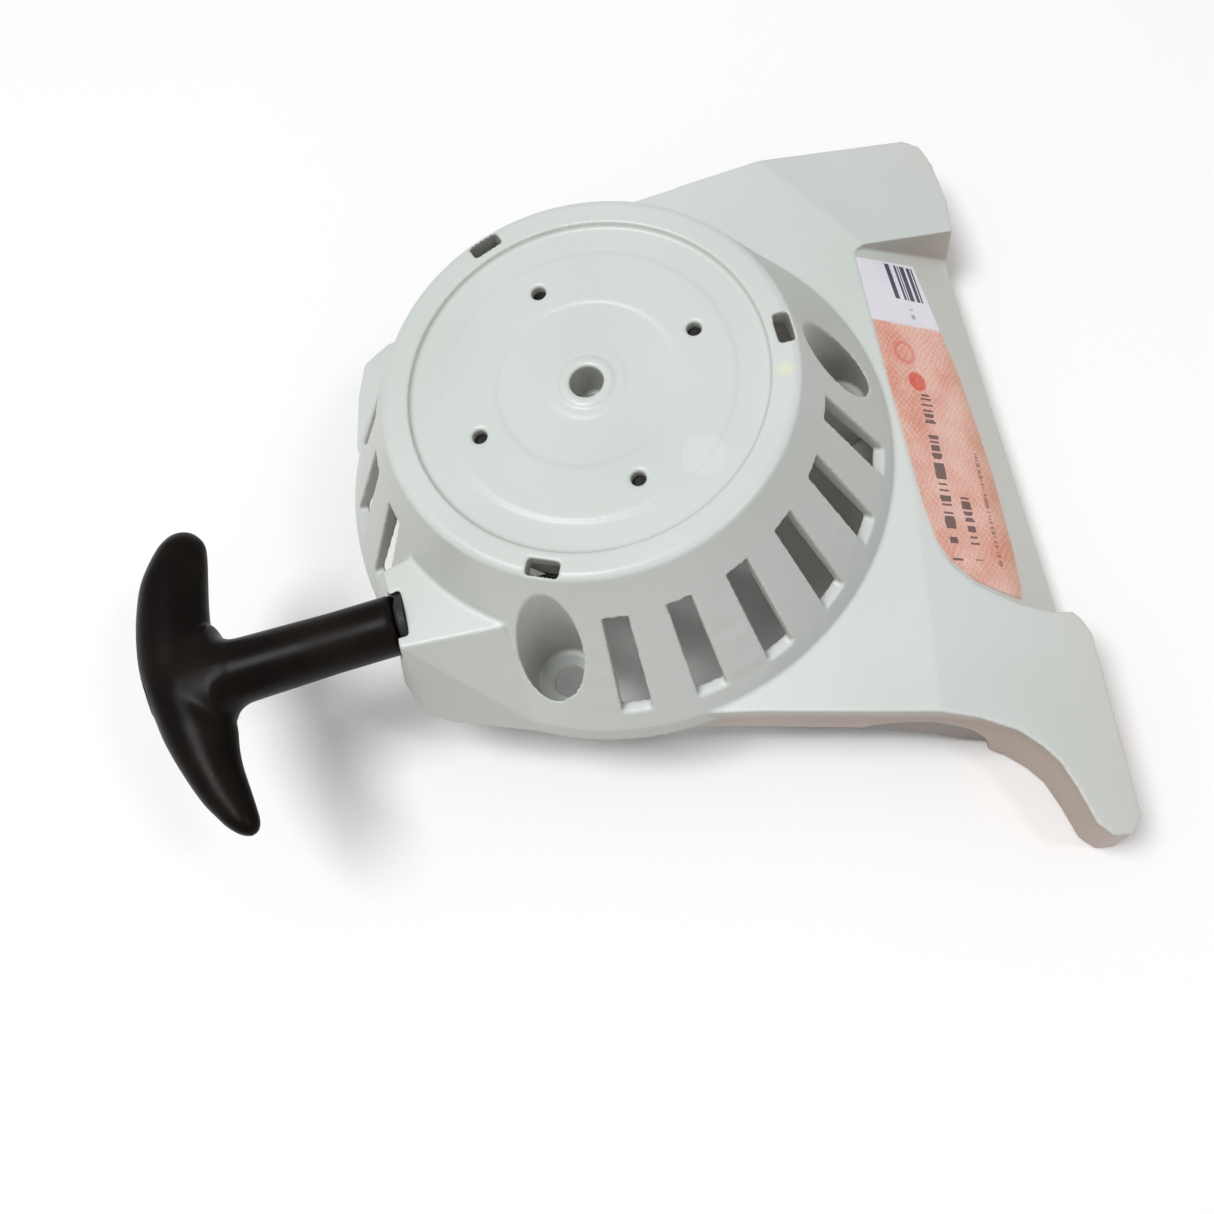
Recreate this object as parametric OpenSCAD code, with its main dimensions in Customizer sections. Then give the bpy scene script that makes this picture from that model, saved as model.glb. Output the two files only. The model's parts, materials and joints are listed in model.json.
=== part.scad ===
// Recoil starter for a small engine: moulded fan cover with a finned wing,
// rope rotor, rewind spring, pawl and T grip. Millimetres, +Z up along the
// spin axis, origin on that axis at the mounting plane, rope pulls along -X.

/* [Cover] */
// Height of the rim above the mounting plane
cover_h = 54; // [48:1:60]
// Outer radius of the flat rim
rim_r = 52.5; // [50:0.5:58]
// Outer radius of the skirt at its foot
skirt_r = 76; // [72:0.5:84]
// Height of the upright band at the skirt's foot
foot_h = 5.5; // [3:0.5:9]
// Wall thickness of the moulding
wall = 2.6; // [2:0.1:3.4]
// Radius of the recess inside the rim
recess_r = 44.6; // [40:0.2:47]
// Depth of the recess floor below the rim
recess_d = 1.5; // [0.8:0.1:3]

/* [Cooling slots] */
// Angle between neighbouring slots
slot_pitch = 15.8; // [12:0.2:20]
// Angle covered by one slot
slot_angle = 6.2; // [4:0.2:9]
// Angle of the first slot on the front
slot_first = -99.2; // [-104:0.2:-96]
// Number of slots on the front
slot_count = 6; // [3:1:6]
// Number of slots on the back
slot_back_count = 5; // [2:1:5]

/* [Screw wells] */
// Distance of the screw holes from the spin axis
well_at = 62.6; // [60:0.2:66]
// Radius of a screw well
well_r = 8.5; // [7:0.1:10]
// Radius of a screw hole
screw_hole_r = 4.4; // [2.6:0.1:5]

/* [Rotor] */
// Radius of the rotor flanges
rotor_r = 41.4; // [40.6:0.1:41.6]
// Height of the rope's centre line
rope_z = 31; // [29:0.5:33]
// Distance of the pull line from the spin axis
pull_y = 38; // [36:0.5:39]
// Rope diameter
rope_d = 3.2; // [2.4:0.1:3.6]
// Outer radius of the fixed post
post_r = 6.6; // [6:0.1:7.4]
// Radius of the blind hole in the post
post_hole_r = 4.2; // [3:0.1:4.6]

/* [Grip] */
// Length of the grip's cross bar
bar_len = 86; // [70:1:100]
// Radius of the grip's stem
stem_r = 7.8; // [6.6:0.1:9]
// Length of the stem out of the cover
stem_len = 48.8; // [34:0.2:60]

/* [Wing] */
// How far the wing's outer wall hangs below the mounting plane
wing_drop = 30; // [24:1:36]
// Fall of the label scoop per millimetre outwards
scoop_slope = 0.76; // [0.6:0.02:0.9]
// Fall of the horns per millimetre outwards
horn_slope = 0.3; // [0.15:0.01:0.4]

/* [Hidden] */
$fn = 64;
// cover
slope = (skirt_r - rim_r) / (cover_h - foot_h - 2);
floor_z = cover_h - recess_d;
plate_t = 3;
under_z = floor_z - plate_t;
chamber_r = 43.2;
lip = 0.4;
ring_in = 22.8;
ring_out = 36.5;
boss_r = 9.5;
well_angles = [-116, -2.3, 108.4];
well_wall = 2.2;
well_floor = 4.5;
rim_slot_at = 49.2;
rim_slot_l = 8;
rim_slot_w = 4;
pin_hole_at = 29.3;
pin_hole_r = 1.85;
pin_hole_turn = 11;
slot_top = cover_h - 12.2;
slot_bottom = cover_h - 42.6;
slot_back_first = 130;
fit = 0.05;
play = 0.35;
post_hole_low = cover_h - 13;
// foot lug beside the back screw well: distance past the skirt, angle
lug_pts = [[-16, 125], [1, 126], [6.4, 133], [9.1, 138.8], [6.2, 145.4],
  [3.1, 152], [1.1, 158], [-6, 165], [-16, 140]];
// the wing was drawn for a skirt of this radius, and moves out with it
wing_drawn_r = 76;
wing_out = skirt_r - wing_drawn_r;
// wing outline, deck level, walked anticlockwise from the skirt's front
wing_pts = [[-20, -73], [3, -75.4], [18, -79.2], [40, -85.8], [61, -92],
  [70.5, -95.8], [79, -101], [83.4, -106], [86.4, -111], [88.3, -118.5],
  [89.8, -127.4], [92.8, -131.2], [97.4, -132], [101.4, -128.4], [104.9, -99],
  [107, -80.5], [105.6, -76], [103.6, -73], [111.4, 40], [115.2, 56],
  [116.2, 72], [115, 79.6], [110.8, 82.9], [64.5, 83.2], [28, 82.6], [-6, 76],
  [0, 0]];
crease_low = [62 + wing_out, -90.5];
crease_mid = [77 + wing_out, -20];
crease_top = [64.5 + wing_out, 86];
crease_in = [85.5 + wing_out, 45];
scoop_pts = [[74.3, -40], [75.4, -50], [77.6, -55.5], [81.5, -61.5], [91, -69],
  [99, -72.8], [125, -78], [125, 44.5], [85.6, 44.5], [82.8, 43.4], [81.5, 39],
  [78, 0]];
scoop_in = [78 + wing_out, 0];
scoop_lean = 4.6;
wing_foot_low = -12.6;
// rib behind the wing's arched front wall: distance along it, height
rib_at = [42 + wing_out, -86];
rib_turn = -17;
rib_pts = [[-22, 6], [-22, -12.4], [0, -13], [19, -21], [29, -27], [36, -29],
  [36, 6]];
arch_at = [65.3 + wing_out, -62.2, -26];
arch_r = 19.6;
// label outline: distance along the scoop's inner line, and down the scoop
label_pts = [[-63.5, -27.5], [-61.6, -20.4], [-58.8, -12.6], [-53.4, -5.8],
  [-47.4, -2.6], [-38, -1.3], [-18, -0.9], [0.6, -0.7], [41.4, -0.8],
  [42.4, -22.4], [31.2, -24.3], [22.6, -25.6], [6.2, -28.4], [-11.6, -29.7],
  [-24.2, -30.4], [-48.9, -29.8], [-60.5, -28.6]];
// mechanism heights
rotor_flange = 2;
groove = 3 * rope_d + 0.4;
rotor_top = rope_z + groove / 2 + rotor_flange;
rotor_low = rope_z - groove / 2 - rotor_flange;
chamber_bottom = rotor_low - 2;
cassette_top = under_z - 0.2;
cassette_r = 24.6;
cassette_t = 1.2;
cassette_bottom = rotor_top + 1.6;
flange_t = 2;
cover_t = 0.7;
spring_in = 11.2;
spring_out = 22.6;
spring_turns = 7;
spring_t = 0.45;
spring_low = cassette_bottom + 1.4;
spring_h = 6;
core_r = pull_y - 1.7 * rope_d;
arbor_r = 9.6;
arbor_top = rotor_top + 8.6;
sleeve_t = 0.9;
sleeve_r = post_r + sleeve_t;
pawl_top = rotor_low - 1.6;
pawl_low = pawl_top - 4;
clip_z = pawl_low - 1.5;
clip_wire = 0.7;
post_low = clip_z - clip_wire - play;
washer_low = clip_z + clip_wire + play;
washer_t = 0.8;
washer_r = 12.5;
hub_low = washer_low + washer_t + play;
hub_r = 10.4;
pawl_at = 25;
pin_r = 2;
// spout and grip
spout_x = -63;
seat_x = spout_x + 2.6;
seat_r = stem_r + 0.6;
bush_r = 4.6;
bush_hole = rope_d / 2 + 0.7;
flange_r = 7.6;
flange_seat = 0.6;
stem_end = seat_x - 2.1;
bar_x = stem_end - stem_len - 10;
bar_sweep = 7;
thumb_r = 11.4;
quarter_r = 9.4;
tip_r = 6;
bar_cant = 3;
plug_r = 6.2;

function at(r, a) = [r * cos(a), r * sin(a)];
function unit(v) = v / norm(v);
function left(v) = [-v[1], v[0]];
// corner of an outline after both of its edges move inwards by t
function inner_corner(a, b, c, t) =
  let (n1 = left(unit(b - a)), n2 = left(unit(c - b)), k = 1 + n1 * n2)
  b + (n1 + n2) * t / k;
function inset(p, t) = [for (i = [0 : len(p) - 1])
  inner_corner(p[(i + len(p) - 1) % len(p)], p[i], p[(i + 1) % len(p)], t)];
function moved(p, d) = [for (q = p) q + d];
function cone_r(z) = rim_r + slope * (cover_h - 2 - z);

// everything above a plane that falls away from the line a-b to its right
module above(a, b, z, fall) {
  d = b - a;
  translate([a[0], a[1], z])
    rotate([0, 0, atan2(d[1], d[0])])
      rotate([atan(fall), 0, 0])
        translate([-300, -300, 0])
          cube([600, 600, 200]);
}

// solid block of the wing, drawn t millimetres inside its outer faces
module wing_block(t) {
  difference() {
    translate([0, 0, -60])
      linear_extrude(60 + foot_h - t)
        polygon(inset(moved(wing_pts, [wing_out, 0]), t));
    above(crease_low, crease_mid, foot_h - t, horn_slope);
    above(crease_in, crease_top, foot_h - t, horn_slope);
    intersection() {
      translate([0, 0, -60])
        linear_extrude(90)
          polygon(inset(moved(scoop_pts, [wing_out, 0]), -t));
      above(scoop_in, scoop_in + [scoop_lean, 50], foot_h - t, scoop_slope);
    }
  }
}

// side outline of the wing's lower edge
module wing_side(extra) {
  translate([0, 150, 0])
    rotate([90, 0, 0])
      linear_extrude(300)
        polygon(moved([[-40, 0], [-2, 0], [2, -9], [18, -12], [40, wing_foot_low], [62, -19],
          [78, -wing_drop], [140, -wing_drop], [140, 60], [-40, 60]],
          [wing_out, -extra]));
}

module skirt_profile() {
  polygon([[0, floor_z + 0.2], [recess_r, floor_z], [recess_r + 0.4, cover_h],
    [rim_r - 2.2, cover_h], [rim_r - 0.7, cover_h - 0.6],
    [rim_r, cover_h - 2], [skirt_r, foot_h], [skirt_r + 1.4, 0], [0, 0]]);
}

module skirt_hollow() {
  polygon([[0, under_z], [rim_r - 3.6, under_z],
    [cone_r(under_z) - wall * 1.3, under_z - 3],
    [skirt_r - wall * 1.15, foot_h], [skirt_r + 1.4 - wall, -1], [0, -1]]);
}

// hull of the rope outlet, drawn t millimetres inside its faces
module spout_block(t) {
  hull() {
    translate([0, 0, 36.4 - t])
      linear_extrude(0.6)
        polygon([[spout_x + t, -25.5 - t], [spout_x + 0.4 + t, -46.7 + t],
          [-36.5, -49 + t], [-30, -38], [-46, -22 - t]]);
    translate([0, 0, t > 0 ? -1 : 0])
      linear_extrude(0.6)
        polygon([[-72 + t, -26 - t], [-72.4 + t, -42.5 + t * 0.6],
          [-70.6 + t, -48.1 + t], [-67.6 + t, -53.4 + t],
          [-62.4 + t, -57 + t], [-36, -68 + t], [-20, -40], [-52, -14]]);
  }
}

module cooling_slot(a) {
  half = slot_angle / 2;
  near = chamber_r + 6;
  far = cone_r(slot_bottom) + 12;
  rotate([0, 0, a])
    translate([0, 0, slot_bottom])
      linear_extrude(slot_top - slot_bottom)
        polygon([at(near, -half), at(far, -half), at(far, half),
          at(near, half)]);
}

module wells(r, low, high) {
  for (a = well_angles)
    rotate([0, 0, a])
      translate([well_at, 0, low])
        cylinder(r = r, h = high - low);
}

module starter_housing() {
  color([0.83, 0.85, 0.83])
    difference() {
      union() {
        difference() {
          union() {
            rotate_extrude()
              skirt_profile();
            difference() {
              intersection() {
                wing_block(0);
                wing_side(0);
              }
              // arched underside of the wing's front wall
              translate(arch_at)
                rotate([90, 0, -16])
                  cylinder(r = arch_r, h = 60);
            }
            linear_extrude(foot_h)
              polygon([for (q = lug_pts) at(skirt_r + q[0], q[1])]);
            spout_block(0);
          }
          rotate_extrude()
            skirt_hollow();
          difference() {
            intersection() {
              wing_block(wall);
              wing_side(20);
            }
            cylinder(r = skirt_r + 1.4, h = 10);
          }
          // the wing is open towards the engine below the mounting plane
          translate([-60, 3 - skirt_r, -61])
            cube([skirt_r + 62, 2 * skirt_r - 6, 61]);
          spout_block(wall);
        }
        // rotor chamber, post and screw columns
        difference() {
          translate([0, 0, chamber_bottom])
            cylinder(r = chamber_r + 1.8, h = under_z - chamber_bottom + 0.5);
          translate([0, 0, chamber_bottom - 1])
            cylinder(r = chamber_r, h = under_z - chamber_bottom + 1);
          translate([-60, -pull_y - 6, rope_z - 6])
            cube([46, 12, 12]);
        }
        translate([0, 0, post_low])
          cylinder(r = post_r, h = floor_z + 1 - post_low);
        translate([0, 0, floor_z - 1])
          cylinder(r = boss_r, h = 1 + lip);
        difference() {
          translate([0, 0, floor_z - 1])
            cylinder(r = ring_out, h = 1 + lip);
          translate([0, 0, floor_z - 2])
            cylinder(r = ring_in, h = 4);
        }
        intersection() {
          wells(well_r + well_wall, 0, cover_h);
          rotate_extrude()
            skirt_profile();
        }
        // end wall of the spout, around the bushing
        intersection() {
          spout_block(0);
          translate([spout_x - 8, -pull_y - seat_r - wall, 10])
            cube([14, 2 * (seat_r + wall), 40]);
        }
        // inner rib behind the wing's arched front wall
        intersection() {
          wing_block(0.5);
          translate([rib_at[0], rib_at[1], 0])
            rotate([90, 0, rib_turn])
              translate([0, 0, -wall])
                linear_extrude(wall)
                  polygon(rib_pts);
        }
      }
      wells(well_r, well_floor, cover_h + 1);
      wells(screw_hole_r, -40, cover_h);
      for (a = well_angles)
        rotate([0, 0, a])
          translate([well_at, 0, well_floor - 1.6])
            cylinder(r1 = screw_hole_r, r2 = well_r - 1.6, h = 1.7);
      for (i = [0 : slot_count - 1])
        cooling_slot(slot_first + i * slot_pitch);
      for (i = [0 : slot_back_count - 1])
        cooling_slot(slot_back_first + i * slot_pitch);
      for (a = well_angles)
        rotate([0, 0, a])
          translate([rim_slot_at - rim_slot_w / 2, -rim_slot_l / 2, cover_h - 9])
            cube([rim_slot_w, rim_slot_l, 12]);
      for (i = [0 : 3])
        rotate([0, 0, pin_hole_turn + 90 * i])
          translate([pin_hole_at, 0, under_z - 1]) {
            cylinder(r = pin_hole_r, h = 8);
            translate([0, 0, plate_t + 1])
              cylinder(r1 = pin_hole_r, r2 = pin_hole_r + 1.4, h = 1);
          }
      translate([0, 0, post_hole_low])
        cylinder(r = post_hole_r, h = 20);
      translate([0, 0, post_low - 1])
        cylinder(r = 2, h = 6.5);
      translate([spout_x - 12, -pull_y, rope_z])
        rotate([0, 90, 0])
          cylinder(r = bush_r, h = 30);
      // pocket for the bushing's flange and the end of the grip's stem
      translate([seat_x + flange_seat - 12, -pull_y, rope_z])
        rotate([0, 90, 0])
          cylinder(r = seat_r, h = 12);
    }
}

module label_sticker() {
  // lies on the scoop: drawn flat, then tilted about the scoop's inner line
  turn = atan2(50, scoop_lean);
  fall = atan(scoop_slope);
  color([0.9, 0.72, 0.65])
    translate([scoop_in[0], scoop_in[1], foot_h])
      rotate([0, 0, turn])
        rotate([fall, 0, 0])
          translate([0, 0, 0.02])
            linear_extrude(0.3)
              polygon(label_pts);
}

module rope_bushing() {
  color([0.12, 0.12, 0.12])
    translate([0, -pull_y, rope_z])
      rotate([0, 90, 0])
        difference() {
          union() {
            translate([0, 0, seat_x - 1])
              cylinder(r = flange_r, h = 1 + flange_seat - 0.02);
            translate([0, 0, seat_x])
              cylinder(r = bush_r, h = 12);
          }
          translate([0, 0, seat_x - 3])
            cylinder(r = bush_hole, h = 20);
        }
}

module grip_buffer() {
  color([0.1, 0.1, 0.1])
    translate([seat_x - 1.02, -pull_y, rope_z])
      rotate([0, -90, 0])
        difference() {
          cylinder(r = 6.6, h = 0.75);
          translate([0, 0, -1])
            cylinder(r = bush_hole, h = 3);
        }
}

module spring_cassette() {
  color([0.2, 0.2, 0.21])
    difference() {
      union() {
        translate([0, 0, cassette_bottom])
          cylinder(r = cassette_r, h = cassette_top - cassette_bottom);
        translate([0, 0, cassette_top - flange_t])
          cylinder(r = ring_out - 0.5, h = flange_t);
      }
      translate([0, 0, cassette_bottom - 1])
        cylinder(r = cassette_r - cassette_t,
          h = cassette_top - cassette_bottom + 1 - cassette_t);
      translate([0, 0, cassette_bottom])
        cylinder(r = post_r + 0.4, h = cassette_top - cassette_bottom + 1);
      for (i = [0 : 3])
        rotate([0, 0, pin_hole_turn + 90 * i])
          translate([pin_hole_at, 0, cassette_top - 5])
            cylinder(r = pin_hole_r, h = 8);
    }
}

module cassette_screws() {
  color([0.6, 0.6, 0.62])
    for (i = [0 : 3])
      rotate([0, 0, pin_hole_turn + 90 * i])
        translate([pin_hole_at, 0, 0])
          difference() {
            union() {
              translate([0, 0, cassette_top - flange_t - 1.9])
                cylinder(r = 3.1, h = 1.88);
              translate([0, 0, cassette_top - flange_t - 1])
                cylinder(r = pin_hole_r - 0.1, h = flange_t + 1.8);
            }
            translate([-0.4, -2, cassette_top - flange_t - 2.2])
              cube([0.8, 4, 0.9]);
            translate([-2, -0.4, cassette_top - flange_t - 2.2])
              cube([4, 0.8, 0.9]);
          }
}

function spiral(k, off) =
  let (r = spring_in + (spring_out - spring_in) * k + off)
  at(r, 360 * spring_turns * k);
module rewind_spring() {
  steps = spring_turns * 20;
  color([0.35, 0.38, 0.45])
    translate([0, 0, spring_low])
      linear_extrude(spring_h)
        polygon(concat([for (i = [0 : steps]) spiral(i / steps, 0)],
          [for (i = [steps : -1 : 0]) spiral(i / steps, -spring_t)]));
}

module cassette_cover() {
  color([0.62, 0.62, 0.64])
    translate([0, 0, cassette_bottom - cover_t - 0.02])
      difference() {
        cylinder(r = cassette_r - 0.1, h = cover_t);
        translate([0, 0, -1])
          cylinder(r = arbor_r + 1.2, h = 3);
      }
}

module post_sleeve() {
  color([0.72, 0.6, 0.35])
    translate([0, 0, washer_low])
      difference() {
        cylinder(r = sleeve_r, h = arbor_top - 1.4 - washer_low);
        translate([0, 0, -1])
          cylinder(r = post_r + 0.02, h = 40);
      }
}

module rope_rotor() {
  color([0.16, 0.16, 0.17])
    difference() {
      union() {
        rotate_extrude()
          polygon([[sleeve_r + fit, hub_low], [hub_r, hub_low],
            [hub_r, rotor_low], [rotor_r, rotor_low],
            [rotor_r, rotor_low + 1.2], [core_r, rotor_low + rotor_flange],
            [core_r, rotor_low + rotor_flange + groove],
            [rotor_r, rotor_top - 1.2], [rotor_r, rotor_top],
            [sleeve_r + fit, rotor_top]]);
        translate([pawl_at, 0, pawl_top])
          cylinder(r = 5, h = rotor_low - pawl_top);
      }
      // pockets between the rotor's spokes
      for (i = [0 : 5])
        rotate([0, 0, 60 * i + 30])
          translate([0, 0, rotor_low + 3])
            linear_extrude(20)
              polygon([at(15, -20), at(core_r - 4, -24), at(core_r - 2.4, 0),
                at(core_r - 4, 24), at(15, 20)]);
      translate([pawl_at, 0, pawl_top - 1])
        cylinder(r = pin_r, h = 8);
      rotate([0, 0, 200])
        translate([core_r - 5.5, 0, rotor_low - 1])
          cylinder(r = 3.6, h = 6);
      rotate([0, 0, 200])
        translate([core_r - 5.5, 0, rotor_low + 2.6])
          rotate([0, 90, 0])
            cylinder(r = rope_d / 2 + 0.2, h = 8);
    }
}

module spring_arbor() {
  color([0.55, 0.55, 0.57])
    difference() {
      translate([0, 0, rotor_top + 0.02])
        cylinder(r = arbor_r, h = arbor_top - rotor_top);
      translate([0, 0, rotor_top - 1])
        cylinder(r = sleeve_r + fit, h = 20);
      translate([arbor_r - 1, -0.8, rotor_top + 2])
        cube([3, 1.6, 20]);
    }
}

module rope_winding() {
  color([0.9, 0.88, 0.82]) {
    for (i = [-1 : 1])
      translate([0, 0, rope_z + i * (rope_d + 0.02)])
        rotate_extrude()
          translate([core_r + rope_d / 2 + 0.02, 0])
            circle(d = rope_d);
    translate([0, 0, rope_z])
      rotate([0, 0, -75])
        rotate_extrude(angle = 330)
          translate([pull_y + 0.02, 0])
            circle(d = rope_d);
  }
}

module rotor_knot() {
  color([0.9, 0.88, 0.82])
    rotate([0, 0, 200])
      translate([core_r - 5.5, 0, rotor_low + 2.3])
        union() {
          sphere(r = 2.2);
          translate([1.2, 0.8, 0.2])
            sphere(r = 1.7);
          translate([-1, 0.9, -0.3])
            sphere(r = 1.7);
        }
}

module pawl_pin() {
  color([0.7, 0.7, 0.72])
    translate([pawl_at, 0, pawl_low - 1.4]) {
      cylinder(r = 3.4, h = 1.1);
      cylinder(r = pin_r - 0.02, h = 9);
    }
}

module pawl() {
  color([0.5, 0.5, 0.53])
    difference() {
      translate([0, 0, pawl_low])
        linear_extrude(pawl_top - pawl_low - 0.4)
          union() {
            translate([pawl_at, 0])
              circle(r = 4.6);
            polygon([[pawl_at + 4.4, 1], [pawl_at - 0.5, 16],
              [pawl_at - 4.6, 20.4], [pawl_at - 7.4, 19.6],
              [pawl_at - 4.4, 13], [pawl_at - 4.5, 0]]);
          }
      translate([pawl_at, 0, pawl_low - 1])
        cylinder(r = pin_r + 0.03, h = 8);
    }
}

module pawl_peg() {
  color([0.7, 0.7, 0.72])
    translate([pawl_at - 3, 11.5, pawl_low - 3])
      cylinder(r = 1.1, h = 2.98);
}

module thrust_washer() {
  color([0.75, 0.75, 0.77])
    translate([0, 0, washer_low])
      difference() {
        cylinder(r = washer_r, h = washer_t);
        translate([0, 0, -1])
          cylinder(r = sleeve_r + 0.05, h = 3);
      }
}

module pawl_clip() {
  // open wire ring gripping the post, with a leg on each side of the pawl's peg
  ring_r = post_r + clip_wire + 0.02;
  leg_ends = [12, 42];
  color([0.7, 0.7, 0.73])
    translate([0, 0, clip_z]) {
      rotate([0, 0, leg_ends[1]])
        rotate_extrude(angle = 360 - leg_ends[1] + leg_ends[0])
          translate([ring_r, 0])
            circle(r = clip_wire);
      for (a = leg_ends)
        rotate([0, 0, a])
          translate([ring_r, 0, 0])
            rotate([0, 90, 0])
              cylinder(r = clip_wire, h = 24);
    }
}

module rotor_washer() {
  color([0.7, 0.7, 0.72])
    translate([0, 0, post_low - 1.02])
      difference() {
        cylinder(r = 9, h = 1);
        translate([0, 0, -1])
          cylinder(r = 2.4, h = 3);
      }
}

module rotor_screw() {
  color([0.6, 0.6, 0.62])
    difference() {
      union() {
        translate([0, 0, post_low - 4.2])
          cylinder(r = 4.4, h = 3.16);
        translate([0, 0, post_low - 2])
          cylinder(r = 1.95, h = 6.5);
      }
      translate([0, 0, post_low - 5])
        cylinder(r = 2, h = 2.4, $fn = 6);
    }
}

// bar of the grip half way from its middle to one end
module quarter(side, y_end) {
  translate([bar_x + 1.4 - side * bar_cant / 2, side * y_end * 0.52, 0])
    sphere(r = quarter_r, $fn = 32);
}

module grip() {
  y_end = bar_len / 2 - tip_r;
  color([0.13, 0.1, 0.09])
    translate([0, -pull_y, rope_z])
      difference() {
        union() {
          for (side = [-1, 1]) {
            hull() {
              translate([bar_x, 0, 0])
                scale([1, 1, 0.9])
                  sphere(r = thumb_r, $fn = 32);
              quarter(side, y_end);
            }
            hull() {
              quarter(side, y_end);
              translate([bar_x + bar_sweep - side * bar_cant, side * y_end, 0])
                sphere(r = tip_r, $fn = 32);
            }
          }
          translate([bar_x, 0, 0])
            rotate([0, 90, 0])
              rotate_extrude()
                polygon([[0, 0], [13.5, 6], [10.8, 11], [8.8, 17],
                  [stem_r + 0.3, 26], [stem_r, stem_end - bar_x - 0.8],
                  [stem_r - 0.8, stem_end - bar_x], [0, stem_end - bar_x]]);
        }
        translate([bar_x, 0, 0])
          rotate([0, 90, 0])
            cylinder(r = rope_d / 2 + 0.2, h = 90);
        translate([bar_x - 20, 0, 0])
          rotate([0, 90, 0])
            cylinder(r = plug_r, h = 23);
      }
}

module grip_ferrule() {
  color([0.6, 0.6, 0.62])
    translate([bar_x + 1.9, -pull_y, rope_z])
      rotate([0, 90, 0])
        difference() {
          cylinder(r = plug_r - 0.1, h = 1);
          translate([0, 0, -1])
            cylinder(r = rope_d / 2 + 0.1, h = 4);
        }
}

module grip_knot() {
  color([0.9, 0.88, 0.82])
    translate([bar_x - 1.2, -pull_y, rope_z])
      union() {
        sphere(r = 2.9);
        translate([-1.4, 1.9, 0.6])
          sphere(r = 2.2);
        translate([-1.2, -1.8, -0.6])
          sphere(r = 2.2);
      }
}

module grip_plug() {
  color([0.15, 0.12, 0.11])
    intersection() {
      translate([bar_x - 12, -pull_y, rope_z])
        rotate([0, 90, 0])
          cylinder(r = plug_r - 0.08, h = 6.4);
      translate([bar_x, -pull_y, rope_z])
        scale([1, 1, 0.9])
          sphere(r = thumb_r, $fn = 32);
    }
}

module rope_run() {
  color([0.9, 0.88, 0.82])
    translate([bar_x + 1.74, -pull_y, rope_z])
      rotate([0, 90, 0])
        cylinder(d = rope_d, h = -18 - bar_x - 1.74);
}

starter_housing();
label_sticker();
rope_bushing();
grip_buffer();
spring_cassette();
cassette_screws();
rewind_spring();
cassette_cover();
post_sleeve();
thrust_washer();
pawl_clip();
rotor_washer();
rotor_screw();
rope_rotor();
spring_arbor();
rope_winding();
rotor_knot();
pawl_pin();
pawl();
pawl_peg();
grip();
grip_ferrule();
grip_knot();
grip_plug();
rope_run();
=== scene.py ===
"""Recoil starter for a small engine: looks of the moulded cover, its label, the T grip,
the rope and the rewind mechanism, built around the fixed CAD frame. Metres throughout."""
import json
import math

import bmesh
import bpy
from bpy.props import (FloatProperty, FloatVectorProperty, IntProperty,
                       PointerProperty)
from mathutils import Matrix, Vector


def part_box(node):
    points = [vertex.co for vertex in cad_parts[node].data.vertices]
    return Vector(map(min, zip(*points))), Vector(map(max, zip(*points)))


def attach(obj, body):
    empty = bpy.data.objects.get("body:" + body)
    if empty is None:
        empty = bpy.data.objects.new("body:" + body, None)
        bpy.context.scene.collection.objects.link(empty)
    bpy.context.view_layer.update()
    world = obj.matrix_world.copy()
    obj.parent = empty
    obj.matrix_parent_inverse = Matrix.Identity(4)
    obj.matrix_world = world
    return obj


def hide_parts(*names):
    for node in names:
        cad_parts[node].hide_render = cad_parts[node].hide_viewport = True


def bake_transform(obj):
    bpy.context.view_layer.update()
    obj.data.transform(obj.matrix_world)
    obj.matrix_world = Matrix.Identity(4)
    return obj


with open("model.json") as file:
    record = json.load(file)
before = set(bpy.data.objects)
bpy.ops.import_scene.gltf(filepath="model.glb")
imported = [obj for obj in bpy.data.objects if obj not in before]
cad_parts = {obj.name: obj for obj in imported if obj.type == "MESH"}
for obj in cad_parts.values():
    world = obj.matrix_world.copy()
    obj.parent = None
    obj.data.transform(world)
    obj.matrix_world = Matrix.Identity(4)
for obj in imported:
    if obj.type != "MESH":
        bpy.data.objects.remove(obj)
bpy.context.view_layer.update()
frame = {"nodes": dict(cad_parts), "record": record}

bl_info = {
    "name": "Recoil starter looks",
    "version": (1, 0, 0),
    "blender": (4, 5, 0),
    "location": "View3D > Sidebar > Starter",
    "description": "Builds the finished look of a recoil starter around its frame",
    "category": "Object",
}

MM = 0.001
NODES = frame["nodes"]


def polar(r, degrees, z=0.0):
    """Point at a radius and angle about the spin axis."""
    a = math.radians(degrees)
    return Vector((r * math.cos(a), r * math.sin(a), z))


ROPE_LOW, ROPE_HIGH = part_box("rope_run")
ROPE_R = (ROPE_HIGH.z - ROPE_LOW.z) / 2
ROPE_Y = (ROPE_HIGH.y + ROPE_LOW.y) / 2
ROPE_Z = (ROPE_HIGH.z + ROPE_LOW.z) / 2
GRIP_LOW, GRIP_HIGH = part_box("grip")
COVER_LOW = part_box("starter_housing")[0]
PLUG_LOW, PLUG_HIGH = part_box("grip_plug")
PLUG_R = (PLUG_HIGH.y - PLUG_LOW.y) / 2
CAP_SET = 1.75 * MM  # how deep the cap sits in the bar
CAP_LEAN = 0.175  # slope of the bar's outer face where the cap sits
BAR_FLAT = 0.88  # height of the bar as a share of its width
ROPE_DRAWN = 0.97  # drawn radius of the rope as a share of its frame node's
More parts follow.
